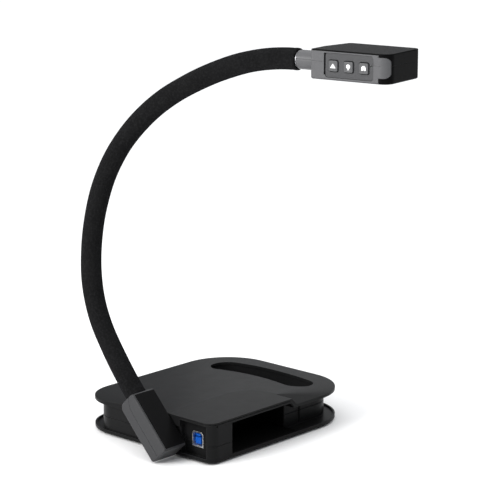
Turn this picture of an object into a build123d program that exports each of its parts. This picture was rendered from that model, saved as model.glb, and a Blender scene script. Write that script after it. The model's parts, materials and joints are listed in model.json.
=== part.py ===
from build123d import *
import os
from math import cos, radians, sin

# Document camera: a flat base, a folding foot block, a bending gooseneck and a level camera head.
# Millimetres. Z is up, X runs to the right along the front edge, Y runs to the back.
# The origin is the centre of the base's footprint, on the table under the rubber feet.

os.makedirs("parts", exist_ok=True)

# ---- base ----
BASE_W = 200.0
BASE_D = 170.6
BASE_CORNERS = {(-1, -1): 10.0, (1, -1): 50.0, (1, 1): 50.0, (-1, 1): 38.0}
FRONT_Y = -BASE_D / 2
FOOT_R = 7.5
FOOT_DROP = 2.0
FOOT_SINK = 1.0
FOOT_PLACES = [(-86, -66), (50, -75), (54, 74), (-82, 58)]
FLOOR_T = 2.0
FLOOR_TOP = FOOT_DROP + FLOOR_T
LIP_TOP = 5.5
LIP_T = 1.8
FLANGE_UNDER = 29.2
FLANGE_TOP = 31.7
PANEL_TOP = 38.5
DECK_T = 2.5
SEAM_LOW = 16.8
SEAM_HIGH = 17.3
SEAM_LIP_TOP = 19.4
UPPER_WALL = 2.2
LOWER_WALL = 3.4
HUB_X = (-98.0, 92.0)
HUB_Y = (-67.4, 67.0)
HUB_CORNERS = {(-1, -1): 1.0, (1, -1): 30.0, (1, 1): 32.0, (-1, 1): 23.0}
CORNER_BLOCK_X = -72.6
SLIT_X = (35.6, 38.6)
SLIT_DEPTH = 1.4
POST_R = 3.6
POST_SPLIT = 14.0
CASE_SCREWS = [(-83, -77), (30, -52), (25, 54), (-78, 50)]
SCREW_R = 1.5
SCREW_HEAD_R = 2.8
SCREW_HEAD_H = 1.8
SCREW_SEAT = 8.0
SCREW_TOP = 22.0
SMALL_SCREW_R = 1.25

# ---- dock: the pocket in the front that the head is stored in ----
DOCK_X = (-72.6, 15.6)
DOCK_BACK = -32.0
DOCK_FLOOR = 5.6
DOCK_ROOF = 34.6
DOCK_STEP_X = (6.0, 11.8)
DOCK_STEP_Z = 28.6
DOCK_LIP_Y = FRONT_Y + 1.9
TRAY_T = 1.5
TRAY_ROOM = 1.6
PANEL_BACK = -30.0
PANEL_RIGHT = 7.4
PANEL_CORNER = 30.0
GROOVE_Z = (36.3, 37.2)
GROOVE_DEPTH = 0.8

# ---- handle opening ----
GRIP_LEFT = 42.0
GRIP_RIGHT = 75.0
GRIP_HALF = 46.0
GRIP_BOW_LEFT = 5.0
GRIP_BOW_RIGHT = 4.5
GRIP_END_BOW = 14.5
GRIP_MID_Y = -1.0
GRIP_UNDERCUT = 1.2
GRIP_WALL = 2.0

# ---- cable recess and its socket ----
RECESS_Y = (-79.0, -47.0)
RECESS_X = -93.0
RECESS_TOP = 35.5
PORT_Y = -62.6
PORT_Z = 19.2
PORT_W = 13.6
PORT_H = 14.0
PORT_DEPTH = 15.0
PORT_FACE = -93.2
PORT_CUT = 2.0
PORT_WALL = 1.0
USB_BOARD_Z = 10.5

LOCK_AT = (-91.5, 35.0)
LOCK_R = 1.0
LOCK_DEPTH = 1.2

# ---- ballast and main board ----
BALLAST_X = (-86.0, 36.0)
BALLAST_Y = (-26.0, 60.0)
BALLAST_Z = (4.1, 9.6)
BOARD_X = (-72.0, 20.0)
BOARD_Y = (-22.0, 40.0)
BOARD_Z = 11.2
BOARD_T = 1.6

# ---- foot block that folds on the side of the base ----
LEAN = 43.0
PIVOT_Y = -36.5
PIVOT_Z = 17.4
BLOCK_X = (-127.5, -101.0)
BLOCK_BELOW = 15.0
BLOCK_ABOVE = 45.0
BLOCK_FRONT = 13.0
BLOCK_BACK = 9.0
BLOCK_BEVEL = 1.6
BLOCK_SEAM = 0.7
COVER_T = 2.2
RIDGE_GAP = 0.9
CAP_T = 1.8
OUTER_COVER_X = -125.4
BLOCK_SCREWS = [(12.0, 5.0), (24.0, -2.0)]
FERRULE_R = 7.15
FERRULE_DEPTH = 8.0
SHAFT_R = 4.0
RUNNING = 0.05
BUSH_R = 6.0
BRACKET_X = (-92.8, -90.8)
BRACKET_HALF = 7.0
SHAFT_HEAD_X = -122.6
SHAFT_END_X = -80.6
NUT_X = -86.4

# ---- gooseneck ----
NECK_X = -111.5
NECK_TILT = 12.0
NECK_TURNS = [8.0, 28.0, 19.0, 25.5, 21.0, 12.0]
NECK_PITCH = 64.5
SLEEVE_R = 9.5
SLEEVE_BORE = 7.2
CORE_R = 5.5
CABLE_R = 3.2
CUP_R = 5.8
SLEEVE_GAP = 1.85
SLEEVE_TAIL = 3.0

# ---- camera head ----
COLLAR_R = 8.2
COLLAR_LEN = 17.2
PIN_R = 4.5
PIN_LEN = 13.0
HEAD_L = 75.0
HEAD_W = 52.2
HEAD_H = 25.1
HEAD_REAR_W = 21.0
HEAD_WIDE_FROM = 7.0
HEAD_SEAM = 15.0
HEAD_WALL = 1.8
SIDE_T = 1.2
COLLAR_IN_Y = 12.0
COLLAR_IN_Z = 13.5
KEYS_X = (22.3, 37.0, 51.6)
KEY_Z = 12.2
KEY_W = 8.6
KEY_GAP = 0.6
KEY_TRAVEL = 0.6
KEY_WALL = 3.0
KEY_FACE = -0.9
KEY_MAT_Y = 4.3
PANEL_X = (14.4, 60.2)
KEY_PANEL_Z = (2.4, 22.6)
PANEL_IN = 1.9
PANEL_SINK = 0.5
SIDE_END = 65.0
SIDE_Z = (0.5, 23.8)
TONGUE_END = 74.0
TONGUE_Z = (5.0, 22.0)
TONGUE_GAP = 0.3
LED_AT = (58.2, 14.3)
LED_R = 0.9
LENS_AT = (52.0, 27.0)
LENS_BEZEL_R = 13.5
LENS_R = 10.5
BARREL_R = 7.0
FRONT_LENS_CURVE = 16.0
LAMP_AT = (31.0, 17.0)
LAMP_R = 4.0
SPIGOT_R = 6.5
HEAD_SCREWS = [(8.0, 24.0), (66.0, 42.5), (36.0, 42.0)]


def box(x, y, z):
    """Box between pairs of limits."""
    middle = Pos((x[0] + x[1]) / 2, (y[0] + y[1]) / 2, (z[0] + z[1]) / 2)
    return middle * Box(x[1] - x[0], y[1] - y[0], z[1] - z[0])


def rounded(x, y, corners):
    """Rectangle between limits with its own radius at each corner."""
    sketch = Pos((x[0] + x[1]) / 2, (y[0] + y[1]) / 2) * Rectangle(x[1] - x[0], y[1] - y[0])
    for (side_x, side_y), radius in corners.items():
        corner = sketch.vertices().sort_by(lambda v: v.X * side_x + v.Y * side_y)[-1]
        sketch = fillet(corner, radius)
    return sketch


def prism_y(points, y0, y1):
    """Solid with an (x, z) profile from y0 to y1."""
    plane = Plane(origin=(0, y1, 0), x_dir=(1, 0, 0), z_dir=(0, -1, 0))
    return extrude(plane * make_face(Polyline(*points, close=True)), y1 - y0)


def raise_up(sketch, z0, z1):
    """Extrude a plan sketch between two heights."""
    return extrude(Pos(0, 0, z0) * sketch, z1 - z0)


def base_outline(inset=0.0):
    corners = {side: max(radius - inset, 0.6) for side, radius in BASE_CORNERS.items()}
    half_w = BASE_W / 2 - inset
    half_d = BASE_D / 2 - inset
    return rounded((-half_w, half_w), (-half_d, half_d), corners)


def hub_plan():
    """Plan of the waist between the two flanges, with the dock and the cable recess left out."""
    hub = rounded(HUB_X, HUB_Y, HUB_CORNERS)
    block = base_outline() & rounded((-BASE_W / 2, CORNER_BLOCK_X), (FRONT_Y, HUB_Y[0] + 12), {})
    mouth = rounded((DOCK_X[0], DOCK_X[1] + TRAY_ROOM), (FRONT_Y - 1, DOCK_LIP_Y), {})
    dock = rounded((DOCK_X[0] - TRAY_ROOM, DOCK_X[1] + TRAY_ROOM), (DOCK_LIP_Y, DOCK_BACK + TRAY_ROOM), {})
    recess = rounded((-BASE_W / 2 - 1, RECESS_X), RECESS_Y, {})
    return hub + block - mouth - dock - recess


def grip_plan(grow=0.0):
    """Plan of the handle opening, grown outward: bowed long sides and round ends."""
    left_x = GRIP_LEFT - grow
    right_x = GRIP_RIGHT + grow
    low = GRIP_MID_Y - GRIP_HALF
    high = GRIP_MID_Y + GRIP_HALF
    middle = (left_x + right_x) / 2
    bow = GRIP_END_BOW + grow
    left = ThreePointArc((left_x, low), (left_x + GRIP_BOW_LEFT, GRIP_MID_Y), (left_x, high))
    back = ThreePointArc((left_x, high), (middle, high + bow), (right_x, high))
    right = ThreePointArc((right_x, high), (right_x + GRIP_BOW_RIGHT, GRIP_MID_Y), (right_x, low))
    front = ThreePointArc((right_x, low), (middle, low - bow), (left_x, low))
    plan = make_face(Curve() + [left, back, right, front])
    return fillet(plan.vertices(), 4.0)


def deck_form():
    """Outside of the top casing above the flange's underside."""
    flange = raise_up(base_outline(), FLANGE_UNDER, FLANGE_TOP)
    ridge = rounded((-BASE_W / 2, PANEL_RIGHT + 2), (PANEL_BACK - 36, PANEL_BACK),
                    {(-1, -1): 0.6, (1, -1): 0.6, (1, 1): PANEL_CORNER, (-1, 1): 0.6})
    dome = loft([Pos(0, 0, FLANGE_TOP) * base_outline(), Pos(0, 0, PANEL_TOP) * ridge], ruled=True)
    panel = raise_up(base_outline(), FLANGE_UNDER, PANEL_TOP)
    drop = PANEL_TOP - FLANGE_UNDER
    panel_profile = [(-BASE_W / 2 - 1, FLANGE_UNDER), (PANEL_RIGHT + drop, FLANGE_UNDER),
                     (PANEL_RIGHT, PANEL_TOP), (-BASE_W / 2 - 1, PANEL_TOP)]
    panel = panel & prism_y(panel_profile, FRONT_Y - 1, PANEL_BACK - PANEL_CORNER)
    return flange + dome + panel


def lid_groove():
    """Shadow groove round the panel's front and left edges, just under its top."""
    ring = base_outline(-1) - base_outline(GROOVE_DEPTH)
    reach = box((-BASE_W / 2 - 1, PANEL_RIGHT - 2), (FRONT_Y - 1, RECESS_Y[1]), GROOVE_Z)
    return raise_up(ring, *GROOVE_Z) & reach


def dock_profile(grow=0.0):
    """(x, z) profile of the dock, grown outward by a wall; its right end steps down with the panel."""
    left = DOCK_X[0] - grow
    right = DOCK_X[1] + grow
    return [(left, DOCK_FLOOR - grow), (right, DOCK_FLOOR - grow), (right, DOCK_STEP_Z + grow),
            (DOCK_STEP_X[1] + grow / 2, DOCK_STEP_Z + grow), (DOCK_STEP_X[0] + grow / 2, DOCK_ROOF + grow),
            (left, DOCK_ROOF + grow)]


def shaft_hole(radius, x0, x1):
    """Cylinder on the hinge axis between two x positions."""
    axis = Plane(origin=(x0, PIVOT_Y, PIVOT_Z), z_dir=(1, 0, 0))
    return extrude(axis * Circle(radius), x1 - x0)


def port_block(grow, x0, x1):
    """Block around the cable socket, with its upper corners cut off as the plug's are."""
    half_w = PORT_W / 2 + grow
    half_h = PORT_H / 2 + grow
    face = Plane(origin=(x0, PORT_Y, PORT_Z), x_dir=(0, 1, 0), z_dir=(1, 0, 0))
    profile = face * Rectangle(half_w * 2, half_h * 2)
    solid = extrude(profile, x1 - x0)
    upper = solid.edges().filter_by(Axis.X).group_by(Axis.Z)[-1]
    return chamfer(upper, PORT_CUT)


def case_openings():
    """What is cut out of both halves of the casing."""
    slit = box(SLIT_X, (HUB_Y[0] - 1, HUB_Y[0] + SLIT_DEPTH), (LIP_TOP - 1, FLANGE_UNDER))
    return [shaft_hole(BUSH_R + RUNNING, -BASE_W / 2 - 1, -88), port_block(0.15, RECESS_X - 1, -85), slit]


def screw_posts(radius, z0, z1):
    return [Pos(x, y, (z0 + z1) / 2) * Cylinder(radius, z1 - z0) for x, y in CASE_SCREWS]


def upper_casing():
    """Deck, top flange and the upper half of the waist, as one hollow moulding."""
    hub = hub_plan()
    inside = offset(hub, amount=-UPPER_WALL, kind=Kind.INTERSECTION)
    form = deck_form()
    below_deck = Pos(0, 0, -DECK_T) * form + raise_up(hub, SEAM_HIGH - 1, FLANGE_UNDER - 1)
    cavity = raise_up(inside, SEAM_HIGH - 1, PANEL_TOP) & below_deck
    shell = form + raise_up(hub, SEAM_HIGH, FLANGE_UNDER) - cavity
    shell += raise_up(grip_plan(GRIP_UNDERCUT + GRIP_WALL), SEAM_HIGH, PANEL_TOP) & below_deck
    shell -= raise_up(grip_plan(), 0, PANEL_TOP)
    shell -= raise_up(grip_plan(GRIP_UNDERCUT), SEAM_HIGH, PANEL_TOP) & below_deck
    for post in screw_posts(POST_R, POST_SPLIT + 0.2, PANEL_TOP):
        shell += post & (below_deck + raise_up(hub, POST_SPLIT, SEAM_HIGH))
    for pilot in screw_posts(SCREW_R - 0.1, POST_SPLIT, SCREW_TOP + 1):
        shell -= pilot
    shell -= prism_y(dock_profile(), FRONT_Y - 1, DOCK_LIP_Y)
    shell -= prism_y(dock_profile(TRAY_ROOM), DOCK_LIP_Y, DOCK_BACK + TRAY_ROOM)
    shell -= box((-BASE_W / 2 - 1, RECESS_X), RECESS_Y, (LIP_TOP, RECESS_TOP))
    shell -= lid_groove()
    lock_face = Plane(origin=(LOCK_AT[0], FRONT_Y, LOCK_AT[1]), z_dir=(0, 1, 0))
    shell -= extrude(lock_face * Circle(LOCK_R), LOCK_DEPTH)
    for opening in case_openings():
        shell -= opening
    return shell


def lower_casing():
    """Bottom flange with its raised lip, and the lower half of the waist."""
    hub = hub_plan()
    inner = offset(hub, amount=-LOWER_WALL, kind=Kind.INTERSECTION)
    lip_outer = offset(hub, amount=-UPPER_WALL - 0.1, kind=Kind.INTERSECTION)
    shell = raise_up(base_outline(), FOOT_DROP, FLOOR_TOP)
    shell = chamfer(shell.edges().group_by(Axis.Z)[0], 0.6)
    shell += raise_up(base_outline() - base_outline(LIP_T), FLOOR_TOP, LIP_TOP)
    shell += raise_up(hub - inner, FLOOR_TOP, SEAM_LOW)
    seam_lip = lip_outer - inner - grip_plan(GRIP_UNDERCUT + GRIP_WALL + 0.2)
    shell += raise_up(seam_lip, SEAM_LOW, SEAM_LIP_TOP)
    shell += raise_up(grip_plan(GRIP_UNDERCUT + GRIP_WALL), FLOOR_TOP, SEAM_LOW)
    for post in screw_posts(POST_R, FLOOR_TOP, POST_SPLIT):
        shell += post
    for rib_y in (PORT_Y - 8.5, PORT_Y + 6.5):
        shell += box((-89, -78), (rib_y, rib_y + 2), (FLOOR_TOP, USB_BOARD_Z))
    shell -= raise_up(grip_plan(GRIP_UNDERCUT), 0, SEAM_LIP_TOP)
    for hole in screw_posts(SCREW_R + 0.2, 0, POST_SPLIT + 1):
        shell -= hole
    for counterbore in screw_posts(SCREW_HEAD_R + 0.2, 0, SCREW_SEAT):
        shell -= counterbore
    for x, y in FOOT_PLACES:
        shell -= Pos(x, y, FOOT_DROP + FOOT_SINK / 2) * Cylinder(FOOT_R + 0.05, FOOT_SINK)
    for opening in case_openings():
        shell -= opening
    return shell


def dock_tray():
    """Black liner of the dock, open at the front and, along the groove, at the right."""
    outer = prism_y(dock_profile(TRAY_T), DOCK_LIP_Y + 0.1, DOCK_BACK + TRAY_T)
    inner = prism_y(dock_profile(), DOCK_LIP_Y - 1, DOCK_BACK)
    groove = box((DOCK_X[1] - 0.1, DOCK_X[1] + 9), (FRONT_Y, HUB_Y[0]), (DOCK_FLOOR, DOCK_ROOF))
    return outer - inner - groove


def rubber_feet():
    foot = Cylinder(FOOT_R, FOOT_DROP + FOOT_SINK)
    foot = fillet(foot.edges().group_by(Axis.Z)[0], 0.8)
    height = (FOOT_DROP + FOOT_SINK) / 2
    return Compound(children=[Pos(x, y, height) * foot for x, y in FOOT_PLACES])


def screw(radius, head_r, head_h, length):
    """Pan-head screw that points up from its head's lower face at z = 0."""
    head = Pos(0, 0, head_h / 2) * Cylinder(head_r, head_h)
    shank = Pos(0, 0, head_h + length / 2) * Cylinder(radius, length)
    drive = Pos(0, 0, 0) * Box(head_r * 1.2, head_r * 0.35, head_h * 0.9)
    return head + shank - drive - Rot(0, 0, 90) * drive


def case_screws():
    one = screw(SCREW_R - 0.1, SCREW_HEAD_R, SCREW_HEAD_H, SCREW_TOP - SCREW_SEAT)
    return Compound(children=[Pos(x, y, SCREW_SEAT - SCREW_HEAD_H) * one for x, y in CASE_SCREWS])


def ballast_plate():
    """Steel plate that keeps the base down under the head's overhang."""
    plate = raise_up(rounded(BALLAST_X, BALLAST_Y, {(-1, 1): 14, (1, 1): 6, (1, -1): 6, (-1, -1): 3}),
                     BALLAST_Z[0], BALLAST_Z[1])
    for hole in screw_posts(POST_R + 0.4, 0, BALLAST_Z[1] + 1):
        plate -= hole
    return plate


def board_corners():
    inset = 5.0
    across = (BOARD_X[0] + inset, BOARD_X[1] - inset)
    along = (BOARD_Y[0] + inset, BOARD_Y[1] - inset)
    return [(x, y) for x in across for y in along]


def main_board():
    board = box(BOARD_X, BOARD_Y, (BOARD_Z, BOARD_Z + BOARD_T))
    for x, y in board_corners():
        board -= Pos(x, y, BOARD_Z) * Cylinder(SMALL_SCREW_R + 0.1, BOARD_T * 3)
    return board


def main_board_chips():
    top = BOARD_Z + BOARD_T
    chips = [((-50, -32), (-6, 12), 1.6), ((-20, -8), (0, 12), 1.2), ((2, 14), (14, 22), 1.2),
             ((-60, -48), (20, 30), 2.4), ((-22, -14), (24, 32), 4.0)]
    return Compound(children=[box(x, y, (top, top + height)) for x, y, height in chips])


def board_spacers():
    spacer_h = BOARD_Z - BALLAST_Z[1]
    ring = Cylinder(3.0, spacer_h) - Cylinder(SMALL_SCREW_R + 0.1, spacer_h)
    return Compound(children=[Pos(x, y, BALLAST_Z[1] + spacer_h / 2) * ring for x, y in board_corners()])


def board_screws():
    one = Rot(180, 0, 0) * screw(SMALL_SCREW_R, 2.4, 1.4, BOARD_T + BOARD_Z - BALLAST_Z[1])
    top = BOARD_Z + BOARD_T + 1.4
    return Compound(children=[Pos(x, y, top) * one for x, y in board_corners()])


def usb_board():
    return box((-89.4, -77.9), (PORT_Y - 9.5, PORT_Y + 9.5), (USB_BOARD_Z, USB_BOARD_Z + BOARD_T))


def usb_socket_shell():
    outer = port_block(0, PORT_FACE, PORT_FACE + PORT_DEPTH)
    return outer - port_block(-PORT_WALL, PORT_FACE - 1, PORT_FACE + PORT_DEPTH - 0.8)


def usb_socket_tongue():
    """Blue insulator inside the socket: a lower block, and a thinner bar above it."""
    start = PORT_FACE + 1.0
    end = PORT_FACE + PORT_DEPTH - 0.9
    lower = box((start, end), (PORT_Y - 3.3, PORT_Y + 3.3), (PORT_Z - 4.2, PORT_Z + 1.4))
    upper = box((start, end), (PORT_Y - 2.6, PORT_Y + 2.6), (PORT_Z + 3.0, PORT_Z + 4.6))
    back = port_block(-PORT_WALL - 0.05, end - 7, end)
    return lower + upper + back


def hinge_bracket():
    width = (PIVOT_Y - BRACKET_HALF, PIVOT_Y + BRACKET_HALF)
    plate = box(BRACKET_X, width, (FLOOR_TOP + 0.1, PIVOT_Z + 9))
    foot = box((BRACKET_X[0], -80), width, (FLOOR_TOP + 0.1, FLOOR_TOP + 2.1))
    bracket = plate + foot - shaft_hole(BUSH_R + RUNNING, BRACKET_X[0] - 1, BRACKET_X[1] + 1)
    for y in (PIVOT_Y - 5, PIVOT_Y + 5):
        bracket -= Pos(-84, y, FLOOR_TOP) * Cylinder(1.6, 6)
    return bracket


def hinge_bush():
    """Flanged plastic bush; the flange spaces the block off the casing."""
    bush = shaft_hole(BUSH_R, HUB_X[0] - 0.1, BRACKET_X[1] + 0.1)
    bush += shaft_hole(BUSH_R + 2.0, HUB_X[0] - 1.5, HUB_X[0] - 0.1)
    return bush - shaft_hole(SHAFT_R + RUNNING, BLOCK_X[0], -80)


def hinge_shaft():
    shaft = shaft_hole(SHAFT_R, SHAFT_HEAD_X, SHAFT_END_X)
    return shaft + shaft_hole(SHAFT_R + 2.5, SHAFT_HEAD_X, SHAFT_HEAD_X + 3)


def spring_washers():
    start = BRACKET_X[1] + 0.4
    rings = []
    for turn in range(3):
        x0 = start + turn * 1.3
        rings.append(shaft_hole(7.0, x0, x0 + 1.2) - shaft_hole(SHAFT_R + 0.02, x0 - 1, x0 + 3))
    return Compound(children=rings)


def hinge_nut():
    plane = Plane(origin=(NUT_X, PIVOT_Y, PIVOT_Z), z_dir=(1, 0, 0))
    nut = extrude(plane * RegularPolygon(7.2, 6), 4.6)
    return nut - shaft_hole(SHAFT_R + 0.02, NUT_X - 1, NUT_X + 6)


# ---- foot block ----
# Its own frame: x runs up along the block, y to its front face, z is the base's X.
BLOCK_UP = Vector(0, sin(radians(LEAN)), cos(radians(LEAN)))
BLOCK_PLANE = Plane(origin=(0, PIVOT_Y, PIVOT_Z), x_dir=BLOCK_UP, z_dir=(1, 0, 0))


def in_block(along, front, x):
    """Box in the block's frame, between limits along it, towards its front, and across in X."""
    return BLOCK_PLANE * box(along, front, x)


def block_form(inset):
    """Outside of the block, or the hollow inside it when inset."""
    along = (-BLOCK_BELOW + inset, BLOCK_ABOVE - inset)
    front = (-BLOCK_BACK + inset, BLOCK_FRONT - inset)
    corners = {(1, -1): 7.0 - inset, (-1, -1): 2.6, (1, 1): 2.6}
    profile = rounded(along, front, corners)
    bevelled = profile.vertices().sort_by(lambda v: v.Y - v.X)[-1]
    profile = chamfer(bevelled, BLOCK_BEVEL)
    start = BLOCK_PLANE * Pos(0, 0, BLOCK_X[0] + inset) * profile
    solid = extrude(start, BLOCK_X[1] - BLOCK_X[0] - 2 * inset)
    if inset:
        return solid
    return fillet(solid.edges().group_by(Axis.X)[0] + solid.edges().group_by(Axis.X)[-1], 0.9)


def block_shell():
    hollow = block_form(COVER_T)
    throat = neck_rod(SLEEVE_BORE + 0.1, -FERRULE_DEPTH - 1, 1)
    return block_form(0) - hollow - throat - shaft_hole(SHAFT_R + 0.02, -104, -100)


def seam_side(grow):
    """Front half of the block's outer face, bounded behind by the seam that curves forward at the top."""
    rear = BLOCK_SEAM + grow
    top = BLOCK_ABOVE + 1
    line = [Line((-BLOCK_BELOW - 1, rear), (top - 16, rear)),
            ThreePointArc((top - 16, rear), (top - 6.5, rear + 2.2), (top, rear + 7.5)),
            Line((top, rear + 7.5), (top, BLOCK_FRONT + 1)),
            Line((top, BLOCK_FRONT + 1), (-BLOCK_BELOW - 1, BLOCK_FRONT + 1)),
            Line((-BLOCK_BELOW - 1, BLOCK_FRONT + 1), (-BLOCK_BELOW - 1, rear))]
    profile = BLOCK_PLANE * Pos(0, 0, BLOCK_X[0] - 1) * make_face(Curve() + line)
    return extrude(profile, OUTER_COVER_X - BLOCK_X[0] + 1)


def block_outer_cover():
    return block_shell() & seam_side(0.2)


def block_front_cover():
    """Black plate on the front, between the grey cap and the grey bevelled foot."""
    reach = (BLOCK_BEVEL - BLOCK_BELOW, BLOCK_ABOVE - CAP_T)
    region = in_block(reach, (BLOCK_SEAM, BLOCK_FRONT + 1), (OUTER_COVER_X + RIDGE_GAP, BLOCK_X[1] + 1))
    behind = (BLOCK_SEAM - 1, BLOCK_FRONT - COVER_T - 0.2)
    region -= in_block(reach, behind, (BLOCK_X[1] - COVER_T - 0.2, BLOCK_X[1] + 2))
    return block_shell() & region


def block_rear_cover():
    """Grey cover round the back, the inner side and both ends of the block."""
    reach = (-BLOCK_BELOW - 1, BLOCK_ABOVE + 1)
    region = in_block(reach, (-BLOCK_BACK - 1, BLOCK_SEAM - 0.2), (OUTER_COVER_X, BLOCK_X[1] + 1))
    behind = (-BLOCK_BACK - 1, BLOCK_FRONT - COVER_T - 0.4)
    region += in_block(reach, behind, (BLOCK_X[1] - COVER_T, BLOCK_X[1] + 1))
    across = (OUTER_COVER_X + 0.2, BLOCK_X[1] + 1)
    to_front = (BLOCK_SEAM - 1, BLOCK_FRONT + 1)
    region += in_block((BLOCK_ABOVE - CAP_T + 0.2, BLOCK_ABOVE + 1), to_front, across)
    region += in_block((-BLOCK_BELOW - 1, BLOCK_BEVEL - BLOCK_BELOW - 0.2), to_front, across)
    outer = in_block(reach, (-BLOCK_BACK - 1, BLOCK_FRONT), (BLOCK_X[0] - 1, OUTER_COVER_X)) - seam_side(-0.2)
    cover = block_shell() & (region + outer)
    for along, front in BLOCK_SCREWS:
        cover -= BLOCK_PLANE * Pos(along, front, BLOCK_X[1]) * Cylinder(SMALL_SCREW_R + 0.1, 8)
        cover -= BLOCK_PLANE * Pos(along, front, BLOCK_X[1]) * Cylinder(2.4, 2.8)
    return cover


def block_core():
    """Cast frame inside the covers: it carries the shaft and the gooseneck."""
    core = in_block((-9, 38), (-6.2, 9.8), (SHAFT_HEAD_X - 0.8, -103.7))
    core = chamfer(core.edges().filter_by(Axis.X), 1.5)
    core -= shaft_hole(SHAFT_R + 0.02, SHAFT_HEAD_X - 1, -100)
    core -= shaft_hole(SHAFT_R + 2.6, SHAFT_HEAD_X - 1, SHAFT_HEAD_X + 3.05)
    core -= neck_rod(FERRULE_R + 0.02, -FERRULE_DEPTH, 1)
    for along, front in BLOCK_SCREWS:
        core -= BLOCK_PLANE * Pos(along, front, -105) * Cylinder(SMALL_SCREW_R, 8)
    return core


def block_screws():
    """Two screws that hold the rear cover to the core from the base's side."""
    one = Rot(180, 0, 0) * screw(SMALL_SCREW_R, 2.2, 1.2, 5.0)
    head_top = BLOCK_X[1] - 0.2
    places = [Pos(along, front, head_top) for along, front in BLOCK_SCREWS]
    return Compound(children=[BLOCK_PLANE * place * one for place in places])


# ---- gooseneck ----
NECK_START = Vector(NECK_X, PIVOT_Y, PIVOT_Z) + BLOCK_UP * BLOCK_ABOVE
NECK_DIRECTION = Vector(0, sin(radians(LEAN)), cos(radians(LEAN)))
BEND_AXIS = Vector(cos(radians(NECK_TILT)), sin(radians(NECK_TILT)) * cos(radians(LEAN)),
                   -sin(radians(NECK_TILT)) * sin(radians(LEAN)))
LEVEL_ANGLE = NECK_DIRECTION.get_angle(Vector(BEND_AXIS.Y, -BEND_AXIS.X, 0))
TURNS = NECK_TURNS + [LEVEL_ANGLE - sum(NECK_TURNS)]
NECK_LENGTH = NECK_PITCH * len(TURNS)
NECK_TOP = NECK_LENGTH + SLEEVE_TAIL


def turned(vector, degrees):
    return vector.rotate(Axis((0, 0, 0), BEND_AXIS), degrees)


def neck_point(distance):
    """Place and direction on the gooseneck's centreline at a distance from the top of the block."""
    place = NECK_START
    direction = NECK_DIRECTION
    if distance < 0:
        return place + direction * distance, direction
    for turn in TURNS:
        step = min(distance, NECK_PITCH)
        radius = NECK_PITCH / radians(turn)
        part_turn = turn * step / NECK_PITCH
        inward = BEND_AXIS.cross(direction)
        centre = place + inward * radius
        place = centre + turned(place - centre, part_turn)
        direction = turned(direction, part_turn)
        distance -= step
        if distance <= 0:
            break
    return place + direction * max(distance, 0), direction


def neck_rod(radius, start, end):
    """Round rod along the gooseneck between two distances that share one bend."""
    place, direction = neck_point(start)
    if start < 0 or start >= NECK_LENGTH:
        return extrude(Plane(origin=place, z_dir=direction) * Circle(radius), end - start)
    path = ThreePointArc(place, neck_point((start + end) / 2)[0], neck_point(end)[0])
    return sweep(Plane(origin=place, z_dir=direction) * Circle(radius), path=path)


def sleeve_segment(index):
    """Soft sleeve over one bend, cut short at each joint so that the bends have room."""
    last = index == len(TURNS) - 1
    start = index * NECK_PITCH + (SLEEVE_GAP if index else 0.1)
    end = (index + 1) * NECK_PITCH - (0 if last else SLEEVE_GAP)
    sleeve = neck_rod(SLEEVE_R, start, end) - neck_rod(SLEEVE_BORE, start, end)
    if last:
        sleeve += neck_rod(SLEEVE_R, end, NECK_TOP) - neck_rod(SLEEVE_BORE, end, NECK_TOP)
    return sleeve


def core_segment(index):
    """Core over one bend: a ball at its upper end turns in the cup of the next one."""
    last = index == len(TURNS) - 1
    start = index * NECK_PITCH
    end = NECK_LENGTH - FERRULE_DEPTH if last else start + NECK_PITCH
    core = neck_rod(CORE_R, start, end)
    if index:
        core -= Pos(neck_point(start)[0]) * Sphere(CUP_R)
    if last:
        return core - neck_rod(CABLE_R, start, end)
    place, direction = neck_point(end)
    core += Pos(place) * Sphere(CORE_R)
    cable_way = extrude(Plane(origin=place, z_dir=direction) * Circle(CABLE_R), CUP_R)
    return core - neck_rod(CABLE_R, start, end) - cable_way


def lower_ferrule():
    """Metal socket that the core and the sleeve start from."""
    ferrule = neck_rod(FERRULE_R, -FERRULE_DEPTH + 0.1, -0.1)
    return ferrule


def upper_ferrule():
    """End piece of the gooseneck, with the pin that the collar turns on."""
    body = neck_rod(FERRULE_R, NECK_LENGTH - FERRULE_DEPTH + 0.05, NECK_LENGTH)
    body += neck_rod(FERRULE_R, NECK_LENGTH, NECK_TOP)
    flange = neck_rod(COLLAR_R - 0.4, NECK_TOP, NECK_TOP + 0.8)
    pin = neck_rod(PIN_R, NECK_TOP, NECK_TOP + PIN_LEN)
    return body + flange + pin


# ---- camera head ----
# Its own frame: x forward along the head, y away from the key side, z up.
NECK_END, HEAD_FORWARD = neck_point(NECK_LENGTH)
HEAD_ACROSS = Vector(0, 0, 1).cross(HEAD_FORWARD)
HEAD_BACK = NECK_END + HEAD_FORWARD * (SLEEVE_TAIL + 1.0 + COLLAR_LEN)
HEAD_ORIGIN = HEAD_BACK - HEAD_ACROSS * COLLAR_IN_Y - Vector(0, 0, COLLAR_IN_Z)
HEAD_PLANE = Plane(origin=HEAD_ORIGIN, x_dir=HEAD_FORWARD, z_dir=(0, 0, 1))


def head_plan(inset=0.0):
    """Plan of the head: square at the collar, then widening on the far side."""
    points = [(0, 0), (HEAD_L, 0), (HEAD_L, HEAD_W), (HEAD_WIDE_FROM, HEAD_W), (0, HEAD_REAR_W)]
    plan = make_face(Polyline(*points, close=True))
    for corner, radius in (((0, 0), 1.5), ((HEAD_L, 0), 9.0), ((HEAD_L, HEAD_W), 5.0),
                           ((HEAD_WIDE_FROM, HEAD_W), 5.0), ((0, HEAD_REAR_W), 4.0)):
        vertex = plan.vertices().sort_by_distance((corner[0], corner[1], 0))[0]
        plan = fillet(vertex, radius)
    return offset(plan, amount=-inset, kind=Kind.INTERSECTION) if inset else plan


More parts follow.
